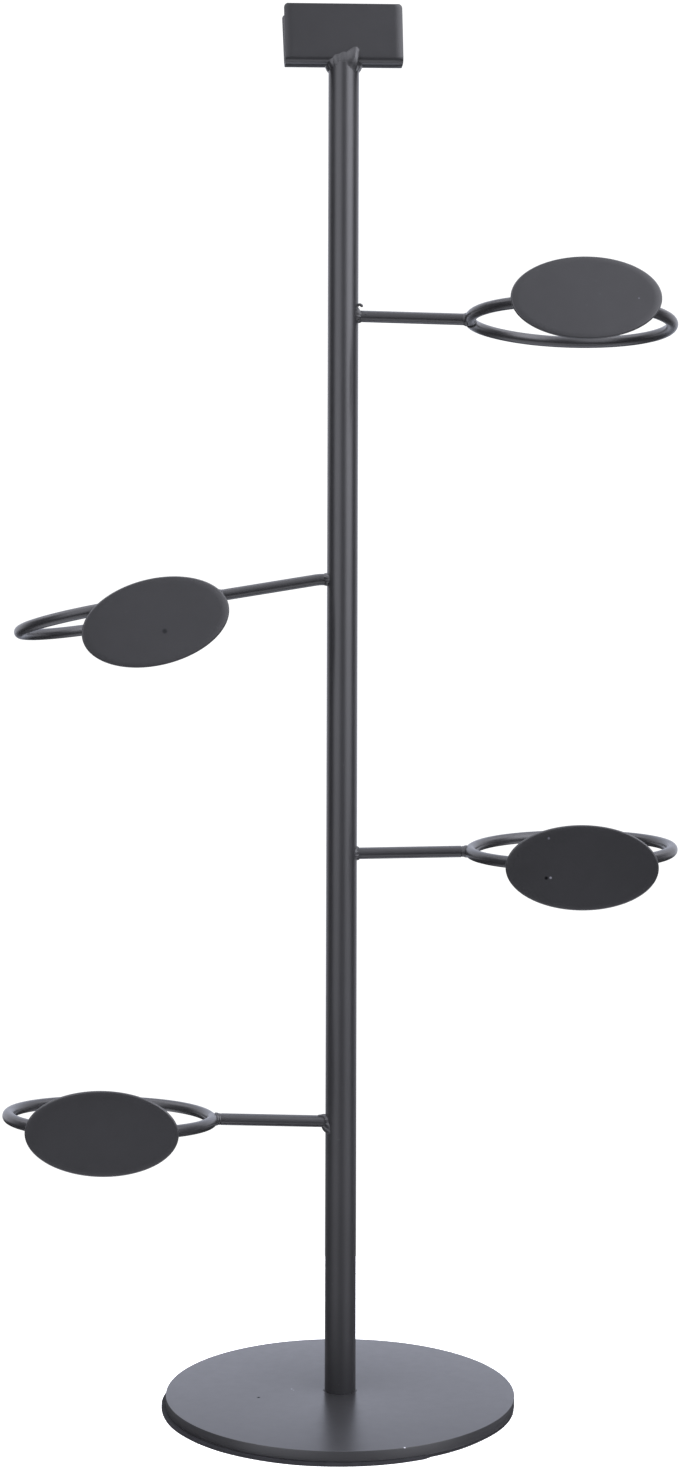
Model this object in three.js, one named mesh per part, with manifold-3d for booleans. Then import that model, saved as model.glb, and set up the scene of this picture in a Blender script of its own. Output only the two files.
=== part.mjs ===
// A tall welded steel mug tree: one upright tube on a round weighted base, four arms that each end
// in a horizontal ring with an oval plate on its front, and a small open channel on top for a card.
//
// Millimetres, +Z up. The origin is on the table, under the middle of the base, on the upright's
// axis. The front of the object faces -Y, and +X is to the right when it is seen from the front.

import * as THREE from 'three';
import { mergeVertices } from 'three/addons/utils/BufferGeometryUtils.js';
import Module from 'manifold-3d';

// ---- Driving dimensions ---------------------------------------------------------------------

// Round steel base with a soft disc stuck under it, a little off centre, as hand-stuck discs are.
const baseDiameter = 179;
const baseThickness = 5;
const baseEdgeRadius = 0.6;
const padOverhang = 1;
const padThickness = 2;
const padOffset = -1.2;

// Countersunk screw that holds the upright to the base, and the plug it threads into.
const screwDiameter = 8;
const screwLength = 18;
const screwHeadDiameter = 15.6;
const screwHeadLand = 0.3;
const screwTipBevel = 1;
const socketAcrossFlats = 5;
const socketDepth = 2.4;
const plugLength = 20;

// Upright tube.
const postDiameter = 16;
const postWall = 1.2;
const postLength = 687.5;

// Open channel on top, folded from one strip of sheet, and the way it sits after welding. Its back
// wall leans away, so the channel is wider at the top.
const signWidth = 62;
const signHeight = 31.2;
const signDepth = 10.8;
const signBackLean = 15;
const signSheet = 1.5;
const signBendRadius = 3.5;
const signCornerRadius = 2.3;
const signTurn = 5.2;
const signRoll = -1.5;

// Arms and rings, all from one size of round rod.
const rodDiameter = 6;
const armLength = 55.5;
const bendShare = 0.6;
const ringRadius = 51.7;
const ringEndGap = 2;
const ringEndPastArm = 2;

// Oval plates.
const plateWidth = 74.4;
const plateHeight = 43;
const plateThickness = 1.5;

// Weld beads: how far each one spreads round its joint and reaches along it.
const rootBeadSpread = 1.3;
const rootBeadReach = 2.8;
const rootBeadLip = 0.3;
const neckLength = 1.2;
const neckDiameter = 5.6;
const plateBeadLength = 16;
const plateBeadDiameter = 4;
const topBeadSpread = 2.6;
const topBeadHeight = 4.6;

// Pieces that touch are modelled this far apart.
const gap = 0.3;
// A screw or plug inside its hole keeps this much room all round.
const holeClearance = 0.5;

const RIGHT = 1;
const LEFT = -1;

// One entry per arm, from the top. height is where the rod leaves the upright. turn swings the arm
// towards the front, droop lowers its outer end, and twist raises the front of its ring. bendAt is
// how far from the upright's axis the rod is bent down, and 0 means that it is straight. The plate
// sits at an angle round the ring from its front (around), slides along the ring (slide), is
// lifted on it (lift), faces up or down (tilt), and leans in its own plane (lean).
const arms = [
  { side: RIGHT, height: 563.5, turn: 6, droop: 2.9, twist: -0.9, bendAt: 0,
    plate: { around: 7.7, slide: -0.5, lift: 0.2, tilt: 11.9, lean: 3.9 } },
  { side: LEFT, height: 425.6, turn: -1, droop: 10.4, twist: -0.1, bendAt: 12.5,
    plate: { around: -10.1, slide: -14.1, lift: -11.2, tilt: 0.7, lean: -4.6 } },
  { side: RIGHT, height: 283.2, turn: 2.2, droop: -1.3, twist: -5.6, bendAt: 0,
    plate: { around: -3.7, slide: 4.8, lift: -0.6, tilt: -6, lean: -0.7 } },
  { side: LEFT, height: 144.8, turn: 6.4, droop: -2.2, twist: 1.4, bendAt: 0,
    plate: { around: 5.7, slide: -1.4, lift: 1.1, tilt: -10.2, lean: -1.5 } },
];

// Mesh fineness. An oval has twice ovalSteps points round it.
const baseSegments = 72;
const postSegments = 32;
const rodSides = 12;
const ringSteps = 36;
const bentRodSteps = 10;
const ovalSteps = 28;
const beadSides = 16;
const beadCapSteps = 3;
const filletSteps = 3;

// ---- Sizes that follow ----------------------------------------------------------------------

const radians = THREE.MathUtils.degToRad;
const postRadius = postDiameter / 2;
const rodRadius = rodDiameter / 2;
const padDiameter = baseDiameter + 2 * padOverhang;
const baseTop = padThickness + baseThickness;
const signBottom = baseTop + postLength + gap;
const reach = postRadius + armLength + rodRadius + ringRadius;
const farPast = ringEndPastArm + ringEndGap;

// ---- Materials ------------------------------------------------------------------------------

const blackPowderCoat = { color: 0x3a3a3e, roughness: 0.55, metalness: 0 };
const blackPad = { color: 0x1d1d1f, roughness: 0.95, metalness: 0 };
const zincPlate = { color: 0xb9bcc0, roughness: 0.4, metalness: 1 };

// ---- Helpers --------------------------------------------------------------------------------

const wasm = await Module();
wasm.setup();

// A closed geometry as a solid that can be cut and joined.
function solidOf(geometry) {
  const bare = geometry.clone();
  bare.deleteAttribute('normal');
  bare.deleteAttribute('uv');
  const merged = mergeVertices(bare, 1e-4);
  const index = merged.index.array;
  const kept = [];
  for (let i = 0; i < index.length; i += 3) {
    const [a, b, c] = [index[i], index[i + 1], index[i + 2]];
    if (a !== b && b !== c && c !== a) kept.push(a, b, c);
  }
  const vertProperties = new Float32Array(merged.attributes.position.array);
  return new wasm.Manifold(new wasm.Mesh({ numProp: 3, vertProperties, triVerts: new Uint32Array(kept) }));
}

// A solid as a geometry with flat shading.
function geometryOf(solid) {
  const mesh = solid.getMesh();
  const geometry = new THREE.BufferGeometry();
  geometry.setAttribute('position', new THREE.BufferAttribute(new Float32Array(mesh.vertProperties), 3));
  geometry.setIndex(new THREE.BufferAttribute(new Uint32Array(mesh.triVerts), 1));
  geometry.computeVertexNormals();
  return geometry;
}

function mesh(name, geometry, finish) {
  const made = new THREE.Mesh(geometry, new THREE.MeshStandardMaterial(finish));
  made.name = name;
  return made;
}

// A closed outline of [radius, height] points turned about the Z axis.
function turned(outline, segments) {
  const points = outline.map(([radius, height]) => new THREE.Vector2(radius, height));
  const geometry = new THREE.LatheGeometry(points, segments);
  geometry.rotateX(Math.PI / 2);
  return geometry;
}

// A solid rod of round section that lies along X from one place to another.
function rodAlongX(radius, from, to, sides) {
  const geometry = new THREE.CylinderGeometry(radius, radius, to - from, sides);
  geometry.rotateZ(-Math.PI / 2);
  geometry.translate((from + to) / 2, 0, 0);
  return geometry;
}

// The section of a round rod, with a corner on each axis.
function roundSection(radius) {
  const section = new THREE.Shape();
  for (let i = 0; i < rodSides; i += 1) {
    const angle = (2 * Math.PI * i) / rodSides;
    const x = radius * Math.cos(angle);
    const y = radius * Math.sin(angle);
    if (i === 0) section.moveTo(x, y);
    else section.lineTo(x, y);
  }
  section.closePath();
  return section;
}

// A round rod that follows a curve.
function rodAlong(curve, radius, steps) {
  const options = { steps, extrudePath: curve, bevelEnabled: false };
  return new THREE.ExtrudeGeometry(roundSection(radius), options);
}

// A flat shape made that thick, upwards.
function slab(shape, thickness) {
  const options = { depth: thickness, curveSegments: ovalSteps, bevelEnabled: false };
  return new THREE.ExtrudeGeometry(shape, options);
}

// An outline of [x, y] points as a shape.
function outlineShape(points) {
  return new THREE.Shape(points.map(([x, y]) => new THREE.Vector2(x, y)));
}

// Points on a quarter circle, from one angle to the other, in degrees.
function arcPoints(centreX, centreY, radius, fromDegrees, toDegrees) {
  const points = [];
  for (let i = 0; i <= filletSteps; i += 1) {
    const angle = radians(fromDegrees + ((toDegrees - fromDegrees) * i) / filletSteps);
    points.push([centreX + radius * Math.cos(angle), centreY + radius * Math.sin(angle)]);
  }
  return points;
}

// ---- Base -----------------------------------------------------------------------------------

function makePad() {
  const radius = padDiameter / 2;
  const outline = [[0, 0], [radius, 0], [radius, padThickness], [0, padThickness]];
  const pad = mesh('base_pad', turned(outline, baseSegments), blackPad);
  pad.position.x = padOffset;
  return pad;
}

// The countersink is a 45 degree cone, so it is as deep as it is wide on one side.
function makeBasePlate() {
  const radius = baseDiameter / 2;
  const holeRadius = screwDiameter / 2 + holeClearance;
  const sinkRadius = screwHeadDiameter / 2 + screwHeadLand + holeClearance;
  const sinkDepth = sinkRadius - holeRadius;
  const outline = [
    [holeRadius, baseThickness],
    [holeRadius, sinkDepth],
    [sinkRadius, 0],
    [radius - baseEdgeRadius, 0],
    [radius, baseEdgeRadius],
    [radius, baseThickness - baseEdgeRadius],
    [radius - baseEdgeRadius, baseThickness],
    [holeRadius, baseThickness],
  ];
  const plate = mesh('base_plate', turned(outline, baseSegments), blackPowderCoat);
  plate.position.z = padThickness;
  return plate;
}

function makeScrew() {
  const headRadius = screwHeadDiameter / 2;
  const shankRadius = screwDiameter / 2;
  const coneTop = screwHeadLand + headRadius - shankRadius;
  const outline = [
    [0, 0],
    [headRadius, 0],
    [headRadius, screwHeadLand],
    [shankRadius, coneTop],
    [shankRadius, screwLength - screwTipBevel],
    [shankRadius - screwTipBevel, screwLength],
    [0, screwLength],
  ];
  const socketRadius = socketAcrossFlats / Math.sqrt(3);
  const socket = new THREE.CylinderGeometry(socketRadius, socketRadius, 2 * socketDepth, 6);
  socket.rotateX(Math.PI / 2);
  const body = solidOf(turned(outline, postSegments)).subtract(solidOf(socket));
  const screw = mesh('base_screw', geometryOf(body), zincPlate);
  screw.position.z = padThickness;
  return screw;
}

function makePlug() {
  const bore = screwDiameter / 2 + gap;
  const outside = postRadius - postWall - gap;
  const outline = [[bore, 0], [outside, 0], [outside, plugLength], [bore, plugLength], [bore, 0]];
  const plug = mesh('post_threaded_plug', turned(outline, postSegments), zincPlate);
  plug.position.z = baseTop;
  return plug;
}

function makePost() {
  const inside = postRadius - postWall;
  const outline = [[inside, 0], [postRadius, 0], [postRadius, postLength], [inside, postLength], [inside, 0]];
  const post = mesh('post_tube', turned(outline, postSegments), blackPowderCoat);
  post.position.z = baseTop;
  return post;
}

// ---- Card channel ---------------------------------------------------------------------------

// The folded strip is a U seen from the side, and its top corners are rounded seen from the front.
function makeSignChannel() {
  const half = signDepth / 2;
  const insideRadius = signBendRadius - signSheet;
  const backBend = half - signBendRadius;
  const lean = radians(signBackLean);
  // Where a face of the leaning wall reaches the top: its line touches the bend's circle.
  const topOfLeaningFace = (radius) =>
    backBend + radius / Math.cos(lean) + (signHeight - signBendRadius) * Math.tan(lean);
  const foldedSection = [
    [-half, signHeight],
    ...arcPoints(-backBend, signBendRadius, signBendRadius, 180, 270),
    ...arcPoints(backBend, signBendRadius, signBendRadius, 270, 360 - signBackLean),
    [topOfLeaningFace(signBendRadius), signHeight],
    [topOfLeaningFace(insideRadius), signHeight],
    ...arcPoints(backBend, signBendRadius, insideRadius, 360 - signBackLean, 270),
    ...arcPoints(-backBend, signBendRadius, insideRadius, 270, 180),
    [-half + signSheet, signHeight],
  ];
  const strip = slab(outlineShape(foldedSection), signWidth);
  strip.rotateX(Math.PI / 2);
  strip.rotateZ(Math.PI / 2);
  strip.translate(-signWidth / 2, 0, 0);

  const halfWidth = signWidth / 2;
  const cornerX = halfWidth - signCornerRadius;
  const cornerZ = signHeight - signCornerRadius;
  const frontOutline = [
    [-halfWidth, -1],
    [halfWidth, -1],
    ...arcPoints(cornerX, cornerZ, signCornerRadius, 0, 90),
    ...arcPoints(-cornerX, cornerZ, signCornerRadius, 90, 180),
  ];
  const blank = slab(outlineShape(frontOutline), 4 * signDepth);
  blank.rotateX(Math.PI / 2);
  blank.translate(0, 2 * signDepth, 0);

  const channel = mesh('sign_channel', geometryOf(solidOf(strip).intersect(solidOf(blank))), blackPowderCoat);
  channel.position.z = signBottom;
  channel.rotation.order = 'ZYX';
  channel.rotation.z = radians(signTurn);
  channel.rotation.y = radians(signRoll);
  return channel;
}

// A concave bead round the top of the upright, under the channel. Its top keeps clear of the
// channel's lower end, which sits lower by the roll.
function makeTopBead() {
  const inner = postRadius + gap;
  const outer = inner + topBeadSpread;
  const outline = [[inner, 0]];
  for (let i = 0; i <= filletSteps; i += 1) {
    const angle = (Math.PI / 2) * (i / filletSteps);
    const radius = outer - (topBeadSpread - gap) * Math.cos(angle);
    outline.push([radius, topBeadHeight * Math.sin(angle) * Math.sin(angle)]);
  }
  outline.push([inner, topBeadHeight], [inner, 0]);
  const bead = mesh('sign_channel_weld', turned(outline, postSegments), blackPowderCoat);
  const rollDrop = outer * Math.sin(Math.abs(radians(signRoll)));
  bead.position.z = signBottom - gap - rollDrop - topBeadHeight;
  return bead;
}

// ---- Arms -----------------------------------------------------------------------------------

// The circle of a ring, run from the end on the arm, round the front, to the end behind it.
class RingCurve extends THREE.Curve {
  constructor(side) {
    super();
    this.side = side;
  }

  getPoint(t, target = new THREE.Vector3()) {
    const from = Math.PI - ringEndPastArm / ringRadius;
    const to = 3 * Math.PI - farPast / ringRadius;
    const angle = from + (to - from) * t;
    return target.set(ringRadius * Math.cos(angle), this.side * ringRadius * Math.sin(angle), 0);
  }
}

// The rod's own line, in the frame of the arm's straight part. A bend starts and ends bendShare of
// the way from its corner to the upright.
function rodCurve(arm, rodEnd) {
  const start = postRadius + gap;
  const end = new THREE.Vector3(rodEnd, 0, 0);
  if (arm.bendAt === 0) return new THREE.LineCurve3(new THREE.Vector3(start, 0, 0), end);
  const droop = radians(arm.droop);
  const back = arm.bendAt - start;
  const bend = back * bendShare;
  const towardsPost = new THREE.Vector3(-Math.cos(droop), 0, -Math.sin(droop));
  const root = towardsPost.clone().multiplyScalar(back);
  const bendStart = towardsPost.clone().multiplyScalar(bend);
  const bendEnd = new THREE.Vector3(bend, 0, 0);
  const curve = new THREE.CurvePath();
  curve.add(new THREE.LineCurve3(root, bendStart));
  curve.add(new THREE.QuadraticBezierCurve3(bendStart, new THREE.Vector3(), bendEnd));
  curve.add(new THREE.LineCurve3(bendEnd, end));
  return curve;
}

// The upright, a gap larger all round, as it lies in another frame.
function postCutterIn(frame) {
  const tall = 2 * (postLength + baseTop);
  const cutter = new THREE.CylinderGeometry(postRadius + gap, postRadius + gap, tall, postSegments);
  cutter.rotateX(Math.PI / 2);
  cutter.applyMatrix4(frame.matrixWorld.clone().invert());
  return solidOf(cutter);
}

// A bead round the rod where it leaves the upright, widest at the upright and thin at its lip.
function makeRootBead(number, frame) {
  const wide = rodRadius + rootBeadSpread;
  const narrow = rodRadius + gap + rootBeadLip;
  const outline = [
    [0, 0],
    [wide, 0],
    [wide, postRadius + gap],
    [(wide + narrow) / 2, postRadius + rootBeadReach / 2],
    [narrow, postRadius + rootBeadReach],
    [0, postRadius + rootBeadReach],
  ];
  const lump = turned(outline, beadSides);
  lump.rotateY(Math.PI / 2);
  const rodHole = rodAlongX(rodRadius + gap, -postRadius, 2 * postRadius + rootBeadReach, beadSides);
  const bead = solidOf(lump).subtract(postCutterIn(frame)).subtract(solidOf(rodHole));
  return mesh(`arm_root_weld_${number}`, geometryOf(bead), blackPowderCoat);
}

// The neck of weld between the rod's end and the ring.
function makeRingBead(number, ringCentre, rodEnd) {
  const neck = rodAlongX(neckDiameter / 2, rodEnd + gap, ringCentre - ringRadius, beadSides);
  const ringCutter = new THREE.TorusGeometry(ringRadius, rodRadius + gap, beadSides, 2 * ringSteps);
  ringCutter.translate(ringCentre, 0, 0);
  const bead = solidOf(neck).subtract(solidOf(ringCutter));
  return mesh(`ring_weld_${number}`, geometryOf(bead), blackPowderCoat);
}

function makePlate(number) {
  const oval = new THREE.Shape();
  oval.absellipse(0, 0, plateHeight / 2, plateWidth / 2, 0, 2 * Math.PI, false, 0);
  const geometry = slab(oval, plateThickness);
  geometry.rotateY(Math.PI / 2);
  return mesh(`label_plate_${number}`, geometry, blackPowderCoat);
}

// A bead along the corner between the ring and the back of its plate, above or below the ring.
// The frame's X axis points from the ring's rod straight at the plate.
function makePlateBead(name, upOrDown, contact, ringFrame) {
  const beadRadius = plateBeadDiameter / 2;
  const straightLength = plateBeadLength - plateBeadDiameter;
  const stick = new THREE.CapsuleGeometry(beadRadius, straightLength, beadCapSteps, rodSides);
  stick.translate(rodRadius - beadRadius / 2, 0, upOrDown * rodRadius);
  const behindPlate = new THREE.BoxGeometry(2 * rodDiameter, 2 * plateBeadLength, 4 * rodDiameter);
  behindPlate.translate(rodRadius - rodDiameter, 0, 0);
  const ringCutter = new THREE.TorusGeometry(ringRadius, rodRadius + gap, beadSides, 2 * ringSteps);
  ringCutter.applyMatrix4(ringFrame.matrixWorld);
  ringCutter.applyMatrix4(contact.matrixWorld.clone().invert());
  const bead = solidOf(stick).intersect(solidOf(behindPlate)).subtract(solidOf(ringCutter));
  return mesh(name, geometryOf(bead), blackPowderCoat);
}

function makeArm(arm, number) {
  const root = new THREE.Group();
  root.position.z = arm.height;
  root.rotation.z = arm.side === RIGHT ? -radians(arm.turn) : Math.PI + radians(arm.turn);

  const straight = new THREE.Group();
  straight.position.x = arm.bendAt;
  straight.rotation.order = 'ZYX';
  straight.rotation.y = radians(arm.droop);
  straight.rotation.x = -arm.side * radians(arm.twist);
  root.add(straight);

  const ringCentre = reach - arm.bendAt;
  const rodEnd = ringCentre - ringRadius - rodRadius - neckLength;
  const rod = rodAlong(rodCurve(arm, rodEnd), rodRadius, arm.bendAt === 0 ? 1 : bentRodSteps);
  straight.add(mesh(`arm_rod_${number}`, rod, blackPowderCoat));

  const ringFrame = new THREE.Group();
  ringFrame.position.x = ringCentre;
  straight.add(ringFrame);
  const ring = rodAlong(new RingCurve(arm.side), rodRadius, ringSteps);
  ringFrame.add(mesh(`ring_${number}`, ring, blackPowderCoat));

  // Out from the ring's centre to the plate, then tipped up or down about the ring's rod.
  const around = radians(arm.plate.around);
  const bearing = new THREE.Group();
  bearing.rotation.z = Math.atan2(-arm.side * Math.cos(around), Math.sin(around));
  ringFrame.add(bearing);
  const contact = new THREE.Group();
  contact.position.x = ringRadius;
  contact.rotation.y = -radians(arm.plate.tilt);
  bearing.add(contact);

  const plate = makePlate(number);
  plate.position.set(rodRadius + gap, arm.side * arm.plate.slide, arm.plate.lift);
  plate.rotation.x = arm.side * radians(arm.plate.lean);
  contact.add(plate);

  root.updateMatrixWorld(true);
  const rootFrame = arm.bendAt === 0 ? straight : root;
  rootFrame.add(makeRootBead(number, rootFrame));
  straight.add(makeRingBead(number, ringCentre, rodEnd));
  contact.add(makePlateBead(`plate_weld_upper_${number}`, 1, contact, ringFrame));
  contact.add(makePlateBead(`plate_weld_lower_${number}`, -1, contact, ringFrame));
  return root;
}

// ---- The whole tree -------------------------------------------------------------------------

const tree = new THREE.Group();
tree.add(makePad());
tree.add(makeBasePlate());
tree.add(makeScrew());
tree.add(makePlug());
tree.add(makePost());
tree.add(makeSignChannel());
tree.add(makeTopBead());
arms.forEach((arm, index) => tree.add(makeArm(arm, index + 1)));

export default tree;
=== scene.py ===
# %% [markdown]
# # A welded steel mug tree
# The real object is a small piece of sheet metal work: a tube stands on a round plate, four lengths
# of rod are welded to it, each rod ends in a hoop of the same rod, an oval plate is welded to the
# front of each hoop, and a folded channel on top holds a card. Everything is then coated black.
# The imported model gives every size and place. This script turns its faceted solids into smooth
# ones, adds what a welder leaves behind, and gives each surface its finish.

# %% Load the frame
import math

import bmesh
import bpy
import numpy as np
from mathutils import Matrix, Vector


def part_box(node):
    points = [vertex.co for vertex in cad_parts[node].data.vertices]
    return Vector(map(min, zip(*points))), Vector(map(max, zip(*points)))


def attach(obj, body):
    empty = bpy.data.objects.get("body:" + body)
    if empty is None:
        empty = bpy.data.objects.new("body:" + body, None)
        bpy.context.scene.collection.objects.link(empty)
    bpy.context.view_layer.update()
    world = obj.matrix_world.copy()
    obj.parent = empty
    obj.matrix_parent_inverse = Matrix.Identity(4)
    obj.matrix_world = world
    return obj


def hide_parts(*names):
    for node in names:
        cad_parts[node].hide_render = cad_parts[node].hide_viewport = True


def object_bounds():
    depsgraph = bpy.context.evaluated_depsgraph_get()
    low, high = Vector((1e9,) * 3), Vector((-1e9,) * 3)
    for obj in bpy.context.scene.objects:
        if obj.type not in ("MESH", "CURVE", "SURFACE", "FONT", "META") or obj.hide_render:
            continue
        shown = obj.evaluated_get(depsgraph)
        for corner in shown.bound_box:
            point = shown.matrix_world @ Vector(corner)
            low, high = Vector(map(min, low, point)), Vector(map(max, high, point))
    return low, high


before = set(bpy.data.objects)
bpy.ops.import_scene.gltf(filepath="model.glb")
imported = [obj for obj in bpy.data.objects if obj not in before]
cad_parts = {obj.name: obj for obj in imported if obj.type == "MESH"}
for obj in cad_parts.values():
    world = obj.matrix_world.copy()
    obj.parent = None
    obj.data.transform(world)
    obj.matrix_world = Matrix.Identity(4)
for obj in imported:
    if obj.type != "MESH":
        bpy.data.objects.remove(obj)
cad_box = [list(corner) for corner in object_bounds()]
print("the packed model holds", len(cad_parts), "nodes in", np.round(cad_box, 4).tolist())

MM = 0.001

# %% [markdown]
# ## Camera
# The camera stands a metre in front, a little below the middle of the tree, so the upper rings are
# seen from below and the lower ones from above. It looks up by about a degree. A long lens and a
# small upward shift keep the upright straight.

# %% Camera
CAMERA_PLACE = (0.0, -1.018, 0.3326)
CAMERA_PITCH = 0.0224
CAMERA_ROLL = 0.0028

camera_data = bpy.data.cameras.new("camera")
camera_data.lens = 48.0
camera_data.sensor_width = 36.0
camera_data.shift_x = -0.00065
camera_data.shift_y = -0.0140
camera = bpy.data.objects.new("camera", camera_data)
bpy.context.scene.collection.objects.link(camera)
bpy.context.scene.camera = camera

forward = np.array([0.0, math.cos(CAMERA_PITCH), math.sin(CAMERA_PITCH)])
level_right = np.array([1.0, 0.0, 0.0])
level_up = np.cross(level_right, forward)
camera_right = math.cos(CAMERA_ROLL) * level_right + math.sin(CAMERA_ROLL) * level_up
camera_up = math.cos(CAMERA_ROLL) * level_up - math.sin(CAMERA_ROLL) * level_right
turn = np.eye(4)
turn[:3, 0], turn[:3, 1], turn[:3, 2], turn[:3, 3] = camera_right, camera_up, -forward, CAMERA_PLACE
camera.matrix_world = Matrix(turn.tolist())
print("camera at", CAMERA_PLACE, "with a", camera_data.lens, "mm lens")

# %% [markdown]
# ## From formulas to meshes
# Almost every piece here is one kind of surface: a closed loop of points carried along a line. So
# one function turns a grid of points, rows by columns, into a mesh. Its columns always join up.
# Its rows either join up too, as on a ring, or each end row shrinks to a point or a line that the
# merge then closes. The same merge closes the seams, and the normals are turned outwards.

# %% Grid of points to mesh
SHARP_ANGLE = math.radians(35)
MERGE_DISTANCE = 0.0005 * MM


def grid_mesh(name, points, join_rows=False):
    """A closed mesh from points[row, column]: each quad joins neighbours in both directions."""
    rows, columns = points.shape[:2]
    index = np.arange(rows * columns).reshape(rows, columns)
    right = np.roll(index, -1, axis=1)
    if join_rows:
        below, below_right = np.roll(index, -1, axis=0), np.roll(right, -1, axis=0)
        quads = np.stack([index, right, below_right, below], axis=-1).reshape(-1, 4)
    else:
        quads = np.stack([index[:-1], right[:-1], right[1:], index[1:]], axis=-1).reshape(-1, 4)
    mesh = bpy.data.meshes.new(name)
    mesh.from_pydata(points.reshape(-1, 3).tolist(), [], quads.tolist())
    return mesh


def finished_piece(name, meshes, node):
    """Joins meshes as one closed piece, turns its normals outwards and lets it stand for a node. An
    edge is open unless exactly two faces meet at it."""
    shape = bmesh.new()
    for mesh in meshes:
        shape.from_mesh(mesh)
    bmesh.ops.remove_doubles(shape, verts=shape.verts, dist=MERGE_DISTANCE)
    bmesh.ops.dissolve_degenerate(shape, edges=shape.edges, dist=MERGE_DISTANCE)
    bmesh.ops.recalc_face_normals(shape, faces=shape.faces)
    merged = bpy.data.meshes.new(name)
    shape.to_mesh(merged)
    shape.free()
    edge_of_corner = np.zeros(len(merged.loops), np.int32)
    merged.loops.foreach_get("edge_index", edge_of_corner)
    faces_at_edge = np.bincount(edge_of_corner, minlength=len(merged.edges))
    open_edges = np.count_nonzero(faces_at_edge != 2)
    for mesh in meshes:
        bpy.data.meshes.remove(mesh)
    merged.shade_smooth()
    merged.set_sharp_from_angle(angle=SHARP_ANGLE)
    piece = bpy.data.objects.new(name, merged)
    bpy.context.scene.collection.objects.link(piece)
    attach(piece, "root")
    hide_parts(node)
    print(f"{name}: {len(merged.polygons)} faces, {open_edges} open edges")
    return piece


# %% [markdown]
# ## Reading the frame
# A smooth piece must lie exactly where its faceted node lies, so its measures are taken from the
# node's own corners: a plane by the direction in which the corners spread least, a circle from
# their mean distance to its centre.

# %% Measures of a node
def corners(node):
    """The node's corners, each once, as an array of points in metres."""
    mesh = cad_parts[node].data
    flat = np.zeros(len(mesh.vertices) * 3, np.float32)
    mesh.vertices.foreach_get("co", flat)
    return np.unique(np.round(flat.reshape(-1, 3).astype(float), 7), axis=0)


def unit(vector):
    return vector / np.linalg.norm(vector, axis=-1, keepdims=True)


def main_axes(points):
    """Directions in which the points spread most, less and least, from their covariance."""
    return np.linalg.svd(points - points.mean(0), full_matrices=False)[2]


def box_centre(node):
    low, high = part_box(node)
    return (np.array(low) + np.array(high)) / 2


def spread_along(points, axis):
    """The lowest and highest place of the points along an axis."""
    along = points @ axis
    return along.min(), along.max()


def distance_from_z_axis(points):
    return np.hypot(points[:, 0], points[:, 1])


post_corners = corners("post_tube")
POST_RADIUS = distance_from_z_axis(post_corners).max()
POST_INSIDE = distance_from_z_axis(post_corners).min()
POST_BOTTOM, POST_TOP = post_corners[:, 2].min(), post_corners[:, 2].max()
print("upright", round(POST_RADIUS / MM, 2), "mm radius, top at", round(POST_TOP / MM, 1), "mm")

# %% [markdown]
# ## Turned pieces: base, pad and upright
# The base is a laser-cut disc whose edges were broken before coating, the pad is a disc of soft
# foam, and the upright is a length of drawn tube. All three are an outline turned about an
# axis, and what makes them read as real metal is the small round on each edge, because it catches
# a line of light. So each corner of an outline is an arc and never a bare point.

# %% Outlines and turning
ROUND_STEPS = 6


def rounded_corner(before, corner, after, radius):
    """An arc near a corner, as a curve that leaves one side and meets the other: the points are
    (1-t)^2 times the start, plus 2t(1-t) times the corner, plus t^2 times the end."""
    before, corner, after = np.array(before), np.array(corner), np.array(after)
    start = corner + unit(before - corner) * radius
    end = corner + unit(after - corner) * radius
    t = np.linspace(0, 1, ROUND_STEPS)[:, None]
    return (1 - t) ** 2 * start + 2 * t * (1 - t) * corner + t**2 * end


def rounded_outline(points, radius):
    """A closed outline with every corner rounded by the same radius."""
    before, after = points[-1:] + points[:-1], points[1:] + points[:1]
    arcs = [rounded_corner(*corner, radius) for corner in zip(before, points, after)]
    return np.concatenate(arcs)


def turned_points(outline, segments, centre=(0.0, 0.0)):
    """An outline of (radius, height) rows turned about a vertical axis through centre."""
    angle = np.linspace(0, 2 * np.pi, segments, endpoint=False)
    radius, height = outline[:, 0:1], outline[:, 1:2]
    level = np.broadcast_to(height, (len(outline), segments))
    x = centre[0] + radius * np.cos(angle)
    y = centre[1] + radius * np.sin(angle)
    return np.stack([x, y, level], axis=-1)


def turned(name, outline, segments, join_rows=True):
    return grid_mesh(name, turned_points(outline, segments), join_rows)


# %% Base disc
BASE_EDGE_ROUND = 0.2 * MM
BASE_SEGMENTS = 192
LEVEL_TOLERANCE = 0.01 * MM

base_corners = corners("base_plate")
base_radius = distance_from_z_axis(base_corners).max()
base_hole = distance_from_z_axis(base_corners).min()
base_low, base_high = base_corners[:, 2].min(), base_corners[:, 2].max()
underside = base_corners[base_corners[:, 2] < base_low + LEVEL_TOLERANCE]
base_sink = distance_from_z_axis(underside).min()
base_outline = rounded_outline(
    [
        (base_hole, base_high),
        (base_radius, base_high),
        (base_radius, base_low),
        (base_sink, base_low),
        (base_hole, base_low + base_sink - base_hole),
    ],
    BASE_EDGE_ROUND,
)
base_mesh = turned("base_disc", base_outline, BASE_SEGMENTS)
base_disc = finished_piece("base_disc", [base_mesh], "base_plate")

# %% [markdown]
# ### Pad
# The pad is cut by hand, a little larger than the base. Its edge is slightly wavy, and on the front
# right somebody trimmed away just over a millimetre, so the cut starts with a step.

# %% Foam pad
PAD_EDGE_ROUND = 0.4 * MM
PAD_SEGMENTS = 288
PAD_LOBES = 14
PAD_WAVE = 0.12 * MM
TRIM_DEPTH = 1.3 * MM
TRIM_FROM = -62.5
TRIM_STEP = 2.5
TRIM_TO = -12
TRIM_EASE = 25

pad_low, pad_high = (np.array(corner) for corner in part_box("base_pad"))
pad_radius = (pad_high[0] - pad_low[0]) / 2
pad_centre = box_centre("base_pad")


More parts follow.
